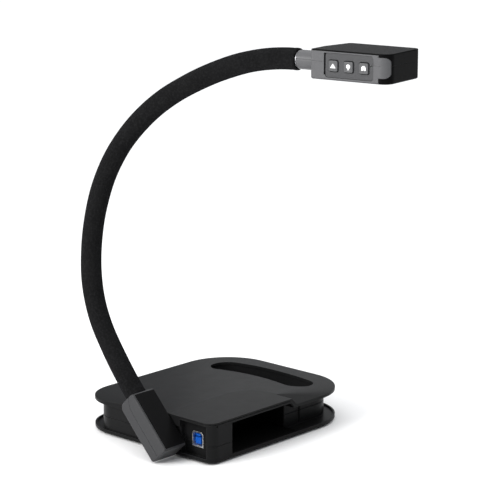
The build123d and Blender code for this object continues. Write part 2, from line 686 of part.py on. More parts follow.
def head_form():
    solid = extrude(head_plan(), HEAD_H)
    solid = fillet(solid.edges().group_by(Axis.Z)[-1], 1.0)
    return fillet(solid.edges().group_by(Axis.Z)[0], 1.6)


def side_zone(thickness, grow):
    """Skin of the head's key side, full height at the rear and a round-ended tongue at the front."""
    skin = head_form() - Pos(0, 0, -1) * extrude(head_plan(thickness), HEAD_H + 2)
    wide = box((-1, SIDE_END + grow), (-1, 3), (SIDE_Z[0] - grow, SIDE_Z[1] + grow))
    tongue = Rectangle(TONGUE_END + grow - 40, TONGUE_Z[1] - TONGUE_Z[0] + 2 * grow)
    tongue = Pos((TONGUE_END + grow + 40) / 2, (TONGUE_Z[0] + TONGUE_Z[1]) / 2) * tongue
    tongue = fillet(tongue.vertices().group_by(Axis.X)[-1], 4.0)
    tongue = extrude(Plane(origin=(0, 8, 0), x_dir=(1, 0, 0), z_dir=(0, -1, 0)) * tongue, 9)
    return skin & (wide + tongue)


def key_block(x, grow, y0, y1):
    """Rounded square block on the key side."""
    plane = Plane(origin=(x, y1, KEY_Z), x_dir=(1, 0, 0), z_dir=(0, -1, 0))
    return extrude(plane * RectangleRounded(KEY_W + 2 * grow, KEY_W + 0.4 + 2 * grow, 1.4 + grow), y1 - y0)


def panel_block(grow, y0, y1):
    """Rounded block of the key panel's outline."""
    width = PANEL_X[1] - PANEL_X[0] + 2 * grow
    height = KEY_PANEL_Z[1] - KEY_PANEL_Z[0] + 2 * grow
    plane = Plane(origin=((PANEL_X[0] + PANEL_X[1]) / 2, y1, (KEY_PANEL_Z[0] + KEY_PANEL_Z[1]) / 2),
                  x_dir=(1, 0, 0), z_dir=(0, -1, 0))
    return extrude(plane * RectangleRounded(width, height, 2.4 + grow), y1 - y0)


def disc(at, radius, z0, z1):
    return Pos(at[0], at[1], (z0 + z1) / 2) * Cylinder(radius, z1 - z0)


def head_shell():
    """Both shells of the head as one hollow form, before they are split at the seam."""
    inside = Pos(0, 0, HEAD_WALL) * extrude(head_plan(HEAD_WALL), HEAD_H - 2 * HEAD_WALL)
    inside -= box((-1, HEAD_L + 1), (-1, KEY_WALL), (0, HEAD_H))
    shell = head_form() - inside - side_zone(SIDE_T + 0.05, TONGUE_GAP)
    shell -= panel_block(0.1, -1, PANEL_IN + 0.05)
    for x in KEYS_X:
        shell -= key_block(x, KEY_GAP, -1, KEY_WALL + 1)
    shell -= disc(LENS_AT, LENS_BEZEL_R + 0.05, -1, HEAD_WALL + 1)
    shell -= disc(LAMP_AT, LAMP_R + 0.05, -1, HEAD_WALL + 1)
    shell -= Pos(0, COLLAR_IN_Y, COLLAR_IN_Z) * Rot(0, 90, 0) * Cylinder(SPIGOT_R + 0.05, 8)
    return shell


def head_upper_shell():
    shell = head_shell() & box((-1, HEAD_L + 1), (-1, HEAD_W + 1), (HEAD_SEAM + 0.15, HEAD_H + 1))
    for x, y in HEAD_SCREWS:
        shell += Pos(x, y, (HEAD_SEAM + HEAD_H) / 2) * Cylinder(2.6, HEAD_H - HEAD_SEAM - 1.2)
        shell -= Pos(x, y, HEAD_SEAM) * Cylinder(SMALL_SCREW_R, 12)
    return HEAD_PLANE * shell


def head_lower_shell():
    shell = head_shell() & box((-1, HEAD_L + 1), (-1, HEAD_W + 1), (-1, HEAD_SEAM))
    for x, y in HEAD_SCREWS:
        shell += Pos(x, y, (1 + HEAD_SEAM) / 2) * Cylinder(3.2, HEAD_SEAM - 1)
        shell -= Pos(x, y, 0) * Cylinder(SMALL_SCREW_R + 0.2, 40)
        shell -= Pos(x, y, 0) * Cylinder(2.4, 8)
    return HEAD_PLANE * shell


def side_plate():
    """Grey plate on the key side, with a window for the key panel and a groove at the seam."""
    plate = side_zone(SIDE_T, 0) - panel_block(0.25, -1, SIDE_T + 1)
    plate -= box((PANEL_X[0] - 1.4, PANEL_X[0] + 1), (-1, SIDE_T + 1), (KEY_PANEL_Z[0] + 2, KEY_PANEL_Z[1]))
    groove_z = (HEAD_SEAM - 0.05, HEAD_SEAM + 0.2)
    plate -= box((-1, PANEL_X[0]), (-1, 0.3), groove_z)
    plate -= box((PANEL_X[1], HEAD_L), (-1, 0.3), groove_z)
    return HEAD_PLANE * plate


def key_panel():
    panel = panel_block(0, PANEL_SINK, PANEL_IN)
    for x in KEYS_X:
        panel -= key_block(x, KEY_GAP, -1, KEY_WALL)
    panel -= led_rod(LED_R + 0.03, -1, KEY_WALL)
    return HEAD_PLANE * panel


def led_rod(radius, y0, y1):
    plane = Plane(origin=(LED_AT[0], y1, LED_AT[1]), x_dir=(1, 0, 0), z_dir=(0, -1, 0))
    return extrude(plane * Circle(radius), y1 - y0)


def status_light():
    return HEAD_PLANE * led_rod(LED_R, PANEL_SINK - 0.1, PANEL_IN)


def key(x):
    """Key cap with softened edges; it moves inward by KEY_TRAVEL."""
    cap = key_block(x, 0, KEY_FACE, KEY_MAT_Y - KEY_TRAVEL - 0.1)
    return HEAD_PLANE * fillet(cap.edges().group_by(Axis.Y)[0], 0.5)


def key_mat():
    """Rubber mat with a dome behind each key."""
    mat = box((PANEL_X[0] + 1, PANEL_X[1] - 1), (KEY_MAT_Y, KEY_MAT_Y + 0.9), (4.0, 20.0))
    return HEAD_PLANE * mat


def key_board():
    return HEAD_PLANE * box((PANEL_X[0], PANEL_X[1]), (KEY_MAT_Y + 1.0, KEY_MAT_Y + 2.2), (3.2, 20.8))


def swivel_collar():
    """Grey collar that turns on the gooseneck's pin, with a spigot held between the shells."""
    start = NECK_TOP + 1.0
    body = neck_rod(COLLAR_R, start, start + COLLAR_LEN)
    body = fillet(body.edges().filter_by(GeomType.CIRCLE).sort_by_distance(neck_point(start)[0])[0], 0.6)
    body += neck_rod(SPIGOT_R, start + COLLAR_LEN, start + COLLAR_LEN + 3.6)
    body -= neck_rod(PIN_R + RUNNING, start - 1, NECK_TOP + PIN_LEN + 0.4)
    width = (COLLAR_IN_Y - 12, COLLAR_IN_Y + 12)
    groove = box((-COLLAR_LEN - 1, 0), width, (HEAD_SEAM - 0.05, HEAD_SEAM + 0.2))
    return body - (HEAD_PLANE * groove & neck_tube(COLLAR_R - 0.3, start, start + COLLAR_LEN))


def neck_tube(bore, start, end):
    return neck_rod(COLLAR_R + 2, start, end) - neck_rod(bore, start, end)


def head_screws():
    one = screw(SMALL_SCREW_R - 0.05, 2.2, 1.2, 14.0)
    return Compound(children=[HEAD_PLANE * Pos(x, y, 2.8) * one for x, y in HEAD_SCREWS])


def lens_bezel():
    ring = disc(LENS_AT, LENS_BEZEL_R, 0.3, 3.0) - disc(LENS_AT, LENS_R, -1, 2.0)
    ring -= disc(LENS_AT, BARREL_R + 1, 1, 4)
    return HEAD_PLANE * chamfer(ring.edges().group_by(Axis.Z)[0], 0.25)


def lens_window():
    return HEAD_PLANE * disc(LENS_AT, LENS_R - 0.05, 0.9, 1.95)


def lens_barrel():
    barrel = disc(LENS_AT, BARREL_R, 2.2, 13.0) - disc(LENS_AT, BARREL_R - 1.6, 2.0, 5.0)
    barrel += disc(LENS_AT, BARREL_R + 2, 11.0, 13.0)
    return HEAD_PLANE * barrel


def front_lens():
    """Domed first element of the lens."""
    dome = Pos(LENS_AT[0], LENS_AT[1], 3.2 + FRONT_LENS_CURVE) * Sphere(FRONT_LENS_CURVE)
    return HEAD_PLANE * (dome & disc(LENS_AT, BARREL_R - 1.65, 2.6, 5.0))


def sensor_board():
    x, y = LENS_AT
    board = box((x - 13, x + 13), (y - 12, y + 12), (13.1, 14.5))
    chip = box((x - 4, x + 4), (y - 4, y + 4), (14.5, 15.6))
    return HEAD_PLANE * (board + chip)


def lamp_window():
    return HEAD_PLANE * disc(LAMP_AT, LAMP_R, 0.4, 1.6)


def lamp_led():
    x, y = LAMP_AT
    board = disc(LAMP_AT, 5.0, 3.4, 4.6)
    emitter = box((x - 1.8, x + 1.8), (y - 1.8, y + 1.8), (2.4, 3.4))
    return HEAD_PLANE * (board + emitter)


BUILDERS = {
    "upper_casing": upper_casing,
    "lower_casing": lower_casing,
    "dock_tray": dock_tray,
    "rubber_feet": rubber_feet,
    "case_screws": case_screws,
    "ballast_plate": ballast_plate,
    "main_board": main_board,
    "main_board_chips": main_board_chips,
    "board_spacers": board_spacers,
    "board_screws": board_screws,
    "usb_board": usb_board,
    "usb_socket_shell": usb_socket_shell,
    "usb_socket_tongue": usb_socket_tongue,
    "hinge_bracket": hinge_bracket,
    "hinge_bush": hinge_bush,
    "hinge_shaft": hinge_shaft,
    "spring_washers": spring_washers,
    "hinge_nut": hinge_nut,
    "block_outer_cover": block_outer_cover,
    "block_front_cover": block_front_cover,
    "block_rear_cover": block_rear_cover,
    "block_core": block_core,
    "block_screws": block_screws,
    "lower_ferrule": lower_ferrule,
    "upper_ferrule": upper_ferrule,
    "swivel_collar": swivel_collar,
    "head_upper_shell": head_upper_shell,
    "head_lower_shell": head_lower_shell,
    "side_plate": side_plate,
    "key_panel": key_panel,
    "status_light": status_light,
    "key_mat": key_mat,
    "key_board": key_board,
    "head_screws": head_screws,
    "lens_bezel": lens_bezel,
    "lens_window": lens_window,
    "lens_barrel": lens_barrel,
    "front_lens": front_lens,
    "sensor_board": sensor_board,
    "lamp_window": lamp_window,
    "lamp_led": lamp_led,
}

for name, build in BUILDERS.items():
    export_step(build(), f"parts/{name}.step")
for name, x in zip(("rotate_key", "lamp_key", "freeze_key"), KEYS_X):
    export_step(key(x), f"parts/{name}.step")
for index in range(len(TURNS)):
    export_step(sleeve_segment(index), f"parts/sleeve_{index + 1}.step")
    export_step(core_segment(index), f"parts/gooseneck_core_{index + 1}.step")
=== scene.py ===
import json
import math

import bmesh
import bpy
import numpy as np
from mathutils import Matrix, Vector


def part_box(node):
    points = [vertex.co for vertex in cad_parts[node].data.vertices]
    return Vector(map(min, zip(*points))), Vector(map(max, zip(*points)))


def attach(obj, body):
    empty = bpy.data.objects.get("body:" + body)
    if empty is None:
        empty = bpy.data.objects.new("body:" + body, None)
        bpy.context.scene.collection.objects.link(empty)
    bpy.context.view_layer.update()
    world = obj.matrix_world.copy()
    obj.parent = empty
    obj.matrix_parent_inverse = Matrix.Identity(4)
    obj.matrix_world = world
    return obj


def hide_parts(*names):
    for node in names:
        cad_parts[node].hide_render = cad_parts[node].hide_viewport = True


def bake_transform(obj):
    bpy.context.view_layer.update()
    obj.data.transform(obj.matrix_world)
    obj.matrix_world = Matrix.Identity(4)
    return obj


# Looks of the document camera. Metres, in the CAD frame: Z up, X to the right along the base's front.

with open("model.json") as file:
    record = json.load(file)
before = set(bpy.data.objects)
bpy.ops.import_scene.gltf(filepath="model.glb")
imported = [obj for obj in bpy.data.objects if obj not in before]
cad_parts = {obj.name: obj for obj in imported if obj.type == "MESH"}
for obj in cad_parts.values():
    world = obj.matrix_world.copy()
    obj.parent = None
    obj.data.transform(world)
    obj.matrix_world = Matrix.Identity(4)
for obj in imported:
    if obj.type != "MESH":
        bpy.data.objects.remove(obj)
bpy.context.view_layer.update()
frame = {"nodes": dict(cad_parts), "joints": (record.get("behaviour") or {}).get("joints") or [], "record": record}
NODES = frame["nodes"]
JOINTS = {joint["name"]: joint for joint in frame["joints"]}
SLOT_OF = {part["node"]: part["material_slot"] for part in frame["record"]["subparts"]}
MM = 0.001


# ---- camera, floor and light ----
CAMERA_AT = Vector((-1.3284, -1.2578, 0.5843))
CAMERA_AZIMUTH = math.radians(-47.49)
CAMERA_DOWN = math.radians(12.89)
CAMERA_LENS = 146.38
SENSOR_WIDTH = 36.0
CLIP_NEAR = 0.05
CLIP_FAR = 60.0
WORLD_COLOUR = (0.92, 0.95, 1.0, 1.0)
WORLD_STRENGTH = 0.28
SUN_DIRECTION = (0.1, -0.06, -1.0)
SUN_STRENGTH = 2.9
SUN_ANGLE = 120
FLOOR_SPAN = 14.0


def aim(obj, direction):
    obj.rotation_mode = "QUATERNION"
    obj.rotation_quaternion = direction.to_track_quat("-Z", "Y")


def add_camera():
    data = bpy.data.cameras.new("camera")
    data.lens = CAMERA_LENS
    data.sensor_width = SENSOR_WIDTH
    data.clip_start = CLIP_NEAR
    data.clip_end = CLIP_FAR
    camera = bpy.data.objects.new("camera", data)
    bpy.context.scene.collection.objects.link(camera)
    camera.location = CAMERA_AT
    level = math.cos(CAMERA_DOWN)
    sideways = -math.sin(CAMERA_AZIMUTH) * level
    ahead = math.cos(CAMERA_AZIMUTH) * level
    aim(camera, Vector((sideways, ahead, -math.sin(CAMERA_DOWN))))
    bpy.context.scene.camera = camera


def add_area(name, at, towards, size, power, colour):
    data = bpy.data.lights.new(name, "AREA")
    data.shape = "RECTANGLE"
    data.size = size[0]
    data.size_y = size[1]
    data.energy = power
    data.color = colour
    light = bpy.data.objects.new(name, data)
    bpy.context.scene.collection.objects.link(light)
    light.location = at
    light.visible_camera = False
    aim(light, Vector(towards) - Vector(at))


def add_sun(name, direction, strength, angle):
    data = bpy.data.lights.new(name, "SUN")
    data.energy = strength
    data.angle = math.radians(angle)
    light = bpy.data.objects.new(name, data)
    bpy.context.scene.collection.objects.link(light)
    aim(light, Vector(direction))


def add_studio():
    world = bpy.data.worlds.new("studio")
    world.use_nodes = True
    background = world.node_tree.nodes["Background"]
    background.inputs["Color"].default_value = WORLD_COLOUR
    background.inputs["Strength"].default_value = WORLD_STRENGTH
    bpy.context.scene.world = world
    add_sun("overhead", SUN_DIRECTION, SUN_STRENGTH, SUN_ANGLE)
    add_area("left_box", (-1.5, 0.3, 0.8), (-0.05, -0.05, 0.2), (0.6, 0.9), 23, (1.0, 0.99, 0.98))
    add_area("back_box", (0.55, 0.32, 0.24), (0.08, 0.0, 0.04), (0.4, 0.2), 0.16, (1.0, 1.0, 1.0))


# ---- node materials ----
IOR = 1.5
BEVEL_SAMPLES = 6
CLOUD_SIZE = 28 * MM
SMEAR_SIZE = 13 * MM
HATCH_SIZE = 1.1 * MM
TRACK_PITCH = 3.0 * MM
PAD_PITCH = 2.6 * MM
PRISM_SIZE = 0.8 * MM
RING_PITCH = 0.7 * MM
# Lighter edge colour of the head's black shell: partly rubbed plastic, partly a painted highlight.
HEAD_EDGE_WEAR_AND_HIGHLIGHT = (0.06, 0.06, 0.062)
PAD_GOLD = (0.62, 0.55, 0.36)


class Surface:
    """A Principled material with a few short ways to add procedural detail."""

    def __init__(self, name, roughness, metallic=0.0, specular=0.5):
        self.material = bpy.data.materials.new(name)
        self.material.use_nodes = True
        self.tree = self.material.node_tree
        self.shader = self.tree.nodes["Principled BSDF"]
        self.set("Roughness", roughness)
        self.set("Metallic", metallic)
        self.set("Specular IOR Level", specular)
        self.set("IOR", IOR)
        self.place = self.add("ShaderNodeTexCoord").outputs["Object"]

    def set(self, socket, value):
        self.shader.inputs[socket].default_value = value

    def add(self, kind, **settings):
        node = self.tree.nodes.new(kind)
        for key, value in settings.items():
            setattr(node, key, value)
        return node

    def feed(self, node, socket, value):
        """Links an output to a socket, or sets the socket to a plain value."""
        if isinstance(value, bpy.types.NodeSocket):
            self.tree.links.new(value, node.inputs[socket])
        else:
            node.inputs[socket].default_value = value

    def math(self, operation, first, second=0.0, clamp=False):
        node = self.add("ShaderNodeMath", operation=operation, use_clamp=clamp)
        self.feed(node, 0, first)
        self.feed(node, 1, second)
        return node.outputs[0]

    def noise(self, size, detail=2.0, place=None, roughness=0.5):
        """Noise whose features are about size metres across."""
        node = self.add("ShaderNodeTexNoise")
        self.feed(node, "Vector", place or self.place)
        node.inputs["Scale"].default_value = 1.0 / size
        node.inputs["Detail"].default_value = detail
        node.inputs["Roughness"].default_value = roughness
        return node.outputs["Fac"]

    def cells(self, size, feature="F1"):
        node = self.add("ShaderNodeTexVoronoi", feature=feature)
        self.feed(node, "Vector", self.place)
        node.inputs["Scale"].default_value = 1.0 / size
        return node.outputs["Distance"]

    def stretch(self, scale):
        """Object coordinates scaled along each axis, for streaks."""
        node = self.add("ShaderNodeMapping")
        self.feed(node, "Vector", self.place)
        node.inputs["Scale"].default_value = scale
        return node.outputs["Vector"]

    def spread(self, value, low, high, out_low, out_high):
        node = self.add("ShaderNodeMapRange")
        for socket, entry in enumerate((value, low, high, out_low, out_high)):
            self.feed(node, socket, entry)
        return node.outputs[0]

    def mix(self, share, first, second):
        node = self.add("ShaderNodeMix", data_type="RGBA")
        self.feed(node, 0, share)
        self.feed(node, 6, first if isinstance(first, bpy.types.NodeSocket) else (*first, 1.0))
        self.feed(node, 7, second if isinstance(second, bpy.types.NodeSocket) else (*second, 1.0))
        return node.outputs[2]

    def soft_edges(self, radius):
        """Normal rounded at sharp edges, and a mask that is high there."""
        bevel = self.add("ShaderNodeBevel", samples=BEVEL_SAMPLES)
        bevel.inputs["Radius"].default_value = radius
        geometry = self.add("ShaderNodeNewGeometry")
        dot = self.add("ShaderNodeVectorMath", operation="DOT_PRODUCT")
        self.tree.links.new(bevel.outputs["Normal"], dot.inputs[0])
        self.tree.links.new(geometry.outputs["Normal"], dot.inputs[1])
        mask = self.spread(dot.outputs["Value"], 0.995, 0.82, 0.0, 1.0)
        return bevel.outputs["Normal"], mask

    def bump(self, height, distance, strength=1.0, normal=None):
        node = self.add("ShaderNodeBump")
        node.inputs["Strength"].default_value = strength
        node.inputs["Distance"].default_value = distance
        self.feed(node, "Height", height)
        if normal is not None:
            self.feed(node, "Normal", normal)
        return node.outputs["Normal"]

    def finish(self, colour=None, roughness=None, normal=None):
        for socket, value in (("Base Color", colour), ("Roughness", roughness), ("Normal", normal)):
            if value is not None:
                self.tree.links.new(value, self.shader.inputs[socket])
        return self.material


def shade(colour, factor):
    return tuple(min(1.0, channel * factor) for channel in colour)


def plastic(name, colour, roughness, grain=0.4 * MM, depth=0.02 * MM, edge=0.3 * MM, edge_rub_and_highlight=0.35, specular=0.3):
    """Moulded plastic: spark-eroded grain, faint clouding, handling marks, and lighter edges that are partly
    rubbed plastic and partly a painted highlight.
    """
    s = Surface(name, roughness, specular=specular)
    clouds = s.noise(CLOUD_SIZE, 3.0)
    fine = s.noise(grain, 2.0)
    smears = s.noise(SMEAR_SIZE, 4.0, roughness=0.6)
    normal, edges = s.soft_edges(edge)
    tone = s.mix(clouds, shade(colour, 0.95), shade(colour, 1.05))
    speckle = s.mix(s.spread(fine, 0.35, 0.7, 0.0, 0.3), tone, shade(colour, 1.45))
    # Lighter edges: partly rubbed plastic, partly a painted highlight, with an absolute lift of 0.1.
    rubbed_and_highlit = s.math("MULTIPLY", edges, s.spread(smears, 0.3, 0.7, edge_rub_and_highlight * 0.4, edge_rub_and_highlight))
    tone = s.mix(rubbed_and_highlit, speckle, tuple(channel * 1.6 + 0.1 for channel in colour))
    rough = s.spread(smears, 0.3, 0.7, roughness - 0.015, roughness + 0.015)
    height = s.math("ADD", fine, s.math("MULTIPLY", s.cells(grain * 1.7), 0.5))
    return s.finish(tone, rough, s.bump(height, depth, 0.8, normal))


def head_shell(name, side, top):
    """Smooth black sides, and a finely hatched top. The top's lighter grey is partly a painted sheen, the hatch
    grooves are painted shade, and the edges are painted lighter, partly as rubbed plastic and partly as a painted
    highlight.
    """
    s = Surface(name, 0.4, specular=0.03)
    coordinates = s.add("ShaderNodeTexCoord")
    split = s.add("ShaderNodeSeparateXYZ")
    s.feed(split, 0, coordinates.outputs["Normal"])
    is_top = s.spread(split.outputs["Z"], 0.93, 0.995, 0.0, 1.0)
    clouds = s.noise(15 * MM, 3.0)
    fine = s.noise(0.3 * MM, 2.0)
    hatch = s.math("MULTIPLY", s.cells(HATCH_SIZE, "DISTANCE_TO_EDGE"), 2.0, True)
    normal, edges = s.soft_edges(0.35 * MM)
    plain = s.mix(clouds, shade(side, 0.85), shade(side, 1.2))
    # The top: painted shade in the hatch grooves, and a lighter grey that is partly a painted sheen.
    grain = s.mix(hatch, shade(top, 0.25), s.mix(clouds, shade(top, 1.0), shade(top, 1.35)))
    tone = s.mix(is_top, plain, grain)
    # Lighter edges: partly rubbed plastic, partly a painted highlight.
    rubbed_and_highlit = s.math("MULTIPLY", edges, s.spread(clouds, 0.3, 0.7, 0.15, 0.45))
    tone = s.mix(rubbed_and_highlit, tone, HEAD_EDGE_WEAR_AND_HIGHLIGHT)
    height = s.math("ADD", s.math("MULTIPLY", fine, 0.5), s.math("MULTIPLY", is_top, hatch))
    rough = s.spread(is_top, 0.0, 1.0, 0.38, 0.6)
    return s.finish(tone, rough, s.bump(height, 0.05 * MM, 0.6, normal))


def metal(name, colour, roughness, streaks=(1.0, 30.0, 1.0), edge=0.15 * MM):
    """Machined or rolled metal with fine streaks."""
    s = Surface(name, roughness, metallic=1.0)
    lines = s.noise(6 * MM, 3.0, s.stretch(streaks), 0.7)
    stains = s.noise(4 * MM, 3.0)
    normal, _ = s.soft_edges(edge)
    tone = s.mix(s.spread(stains, 0.3, 0.7, 0.0, 1.0), shade(colour, 0.82), shade(colour, 1.08))
    rough = s.spread(lines, 0.3, 0.7, roughness - 0.08, roughness + 0.12)
    return s.finish(tone, rough, s.bump(lines, 0.01 * MM, 0.6, normal))


def rubber(name, colour):
    s = Surface(name, 0.85, specular=0.3)
    dust = s.noise(2.2 * MM, 4.0)
    fine = s.noise(0.25 * MM, 2.0)
    normal, _ = s.soft_edges(0.3 * MM)
    tone = s.mix(s.spread(dust, 0.45, 0.75, 0.0, 0.5), colour, shade(colour, 2.2))
    return s.finish(tone, s.spread(dust, 0.3, 0.7, 0.75, 0.92), s.bump(fine, 0.03 * MM, 0.7, normal))


def board(name, colour):
    """Circuit board: lacquer over copper tracks and pads."""
    s = Surface(name, 0.35)
    brick = s.add("ShaderNodeTexBrick", offset=0.37, squash=1.0)
    s.feed(brick, "Vector", s.place)
    brick.inputs["Scale"].default_value = 1.0 / TRACK_PITCH
    brick.inputs["Mortar Size"].default_value = 0.06
    brick.inputs["Mortar Smooth"].default_value = 0.2
    pads = s.spread(s.cells(PAD_PITCH), 0.16, 0.13, 0.0, 1.0)
    tone = s.mix(brick.outputs["Fac"], shade(colour, 0.8), shade(colour, 1.6))
    tone = s.mix(pads, tone, PAD_GOLD)
    height = s.math("MAXIMUM", brick.outputs["Fac"], pads)
    return s.finish(tone, s.spread(pads, 0.0, 1.0, 0.35, 0.22), s.bump(height, 0.03 * MM, 0.7))


def glass(name, colour, roughness, coat=0.0):
    s = Surface(name, roughness)
    s.set("Transmission Weight", 1.0)
    s.set("Coat Weight", coat)
    dust = s.noise(1.3 * MM, 3.0)
    tone = s.mix(dust, shade(colour, 0.96), colour)
    rough = s.spread(dust, 0.5, 0.8, roughness, roughness + 0.03)
    return s.finish(tone, rough)


def frosted(name, colour):
    """Frosted window over the lamp, with small moulded prisms."""
    s = Surface(name, 0.45)
    s.set("Subsurface Weight", 0.3)
    s.set("Subsurface Radius", (0.002, 0.002, 0.002))
    prisms = s.cells(PRISM_SIZE)
    tone = s.mix(prisms, colour, shade(colour, 0.86))
    return s.finish(tone, s.spread(prisms, 0.0, 0.8, 0.35, 0.6), s.bump(prisms, 0.08 * MM, 0.8))


def lens_tube(name, colour):
    """Matt black with turned rings that keep stray light down."""
    s = Surface(name, 0.6, specular=0.3)
    low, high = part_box("lens_barrel")
    centre = (low + high) / 2
    offset = s.add("ShaderNodeVectorMath", operation="SUBTRACT")
    s.feed(offset, 0, s.place)
    offset.inputs[1].default_value = centre
    flat = s.add("ShaderNodeVectorMath", operation="MULTIPLY")
    s.feed(flat, 0, offset.outputs[0])
    flat.inputs[1].default_value = (1.0, 1.0, 0.0)
    length = s.add("ShaderNodeVectorMath", operation="LENGTH")
    s.feed(length, 0, flat.outputs[0])
    rings = s.math("SINE", s.math("MULTIPLY", length.outputs["Value"], 2 * math.pi / RING_PITCH))
    normal, edges = s.soft_edges(0.2 * MM)
    fine = s.noise(0.3 * MM)
    tone = s.mix(edges, s.mix(fine, shade(colour, 0.8), shade(colour, 1.3)), shade(colour, 3.0))
    height = s.math("ADD", s.math("MULTIPLY", rings, 0.6), fine)
    return s.finish(tone, s.spread(fine, 0.3, 0.7, 0.5, 0.7), s.bump(height, 0.05 * MM, 0.8, normal))


def knit(name, colour):
    """Fine matt jersey: rows of small V stitches, with fuzz and faint clouding; stitch hollows painted darker as
    shade, crests lighter as highlight.
    """
    s = Surface(name, 0.92, specular=0.0)
    s.set("Sheen Weight", 0.025)
    s.set("Sheen Roughness", 0.45)
    s.set("Sheen Tint", (0.8, 0.82, 0.86, 1.0))
    uv = s.add("ShaderNodeUVMap", uv_map="knit")
    split = s.add("ShaderNodeSeparateXYZ")
    s.feed(split, 0, uv.outputs["UV"])
    across = s.math("ABSOLUTE", s.math("SUBTRACT", s.math("FRACT", split.outputs["X"]), 0.5))
    row = s.math("ADD", split.outputs["Y"], s.math("MULTIPLY", across, 1.3))
    stitch = s.math("ABSOLUTE", s.math("SINE", s.math("MULTIPLY", row, math.pi)))
    rib = s.math("SINE", s.math("MULTIPLY", across, 2 * math.pi))
    relief = s.math("MULTIPLY", s.math("POWER", stitch, 0.6), s.math("POWER", rib, 0.5))
    fuzz = s.noise(0.35 * MM, 3.0, roughness=0.7)
    clouds = s.noise(14 * MM, 4.0)
    lint = s.noise(1.6 * MM, 2.0)
    # Colour follows the stitch relief: hollows painted darker as shade, crests painted lighter as highlight.
    yarn_and_hollow_shade = s.mix(relief, shade(colour, 0.45), shade(colour, 1.25))
    yarn_and_hollow_shade = s.mix(s.spread(clouds, 0.3, 0.7, 0.0, 0.35), yarn_and_hollow_shade, shade(colour, 1.7))
    yarn_and_hollow_shade = s.mix(s.spread(lint, 0.45, 0.7, 0.0, 0.55), yarn_and_hollow_shade, shade(colour, 2.3))
    height = s.math("ADD", relief, s.math("MULTIPLY", fuzz, 0.7))
    return s.finish(yarn_and_hollow_shade, s.spread(fuzz, 0.3, 0.7, 0.85, 0.98), s.bump(height, 0.22 * MM, 0.7))


def ink(name, colour):
    """Printed white symbol."""
    s = Surface(name, 0.5)
    grain = s.noise(0.3 * MM, 2.0)
    return s.finish(s.mix(grain, shade(colour, 0.9), colour), s.spread(grain, 0.3, 0.7, 0.4, 0.6))


CHARCOAL = (0.0085, 0.0086, 0.0088)
BLACK = (0.0035, 0.0035, 0.0037)
GREY = (0.032, 0.0323, 0.034)
HEAD_GREY = (0.088, 0.0885, 0.092)
KEY_GREY = (0.062, 0.063, 0.066)
SOCKET_BLUE = (0.0015, 0.07, 0.36)

# The edge amounts below paint edges lighter: partly rubbed plastic, partly a painted highlight.
MATERIALS = {
    "casing_black": plastic("casing_black", CHARCOAL, 0.34, edge=0.6 * MM, edge_rub_and_highlight=0.25, specular=0.05),
    # Near-black dock lining: painted shade for the inside of the pocket.
    "dock_black": plastic("dock_black", (0.002, 0.002, 0.002), 0.75, specular=0.06, edge_rub_and_highlight=0.1),
    "rubber_black": rubber("rubber_black", (0.012, 0.012, 0.012)),
    "screw_steel": metal("screw_steel", (0.5, 0.5, 0.52), 0.32, (8.0, 8.0, 1.0)),
    "ballast_steel": metal("ballast_steel", (0.34, 0.34, 0.35), 0.45),
    "board_green": board("board_green", (0.015, 0.1, 0.04)),
    "chip_black": plastic("chip_black", (0.015, 0.015, 0.016), 0.5),
    "brass": metal("brass", (0.66, 0.5, 0.2), 0.3, (1.0, 1.0, 20.0)),
    "socket_metal": metal("socket_metal", (0.93, 0.94, 0.95), 0.3, (1.0, 3.0, 3.0), 0.2 * MM),
    "socket_blue": plastic(
        "socket_blue", SOCKET_BLUE, 0.35, 0.25 * MM, 0.01 * MM, edge=0.15 * MM, edge_rub_and_highlight=0.2, specular=0.5
    ),
    "shaft_steel": metal("shaft_steel", (0.42, 0.42, 0.44), 0.28, (1.0, 40.0, 40.0)),
    "bush_plastic": plastic("bush_plastic", (0.004, 0.004, 0.004), 0.5, specular=0.08, edge_rub_and_highlight=0.0),
    "cover_grey": plastic("cover_grey", GREY, 0.36, edge=0.5 * MM, edge_rub_and_highlight=0.3, specular=0.2),
    "head_grey": plastic("head_grey", HEAD_GREY, 0.34, edge=0.5 * MM, edge_rub_and_highlight=0.25, specular=0.2),
    "cover_black": plastic("cover_black", BLACK, 0.4, specular=0.05),
    # The head's lighter top grey is partly a painted sheen.
    "head_black": head_shell("head_black", (0.003, 0.003, 0.0031), (0.068, 0.068, 0.069)),
    "cast_zinc": metal("cast_zinc", (0.48, 0.48, 0.5), 0.5, (2.0, 2.0, 2.0)),
    "gooseneck_steel": metal("gooseneck_steel", (0.35, 0.35, 0.36), 0.35),
    "key_grey": plastic(
        "key_grey", KEY_GREY, 0.4, 0.3 * MM, 0.012 * MM, edge=0.25 * MM, edge_rub_and_highlight=0.5, specular=0.4
    ),
    "key_panel_grey": plastic("key_panel_grey", (0.052, 0.0525, 0.055), 0.42, edge_rub_and_highlight=0.2, specular=0.2),
    "light_clear": glass("light_clear", (0.55, 0.72, 0.6), 0.25),
    "lens_glass": glass("lens_glass", (0.82, 0.84, 0.95), 0.02, 0.6),
    "lens_black": lens_tube("lens_black", (0.008, 0.008, 0.0085)),
    "lamp_diffuser": frosted("lamp_diffuser", (0.86, 0.86, 0.82)),
    "lamp_white": plastic("lamp_white", (0.8, 0.78, 0.62), 0.4, edge_rub_and_highlight=0.0),
    "sleeve_fabric": knit("sleeve_fabric", (0.008, 0.008, 0.0083)),
}
SYMBOL_WHITE = ink("symbol_white", (0.85, 0.85, 0.85))
CONTACT_GOLD = metal("contact_gold", (0.85, 0.62, 0.28), 0.25, (1.0, 10.0, 10.0), 0.05 * MM)


def dress_cad_nodes():
    """Each CAD node takes the material of its slot in the record."""
    for name, node in NODES.items():
        node.data.materials.clear()
        node.data.materials.append(MATERIALS[SLOT_OF[name]])


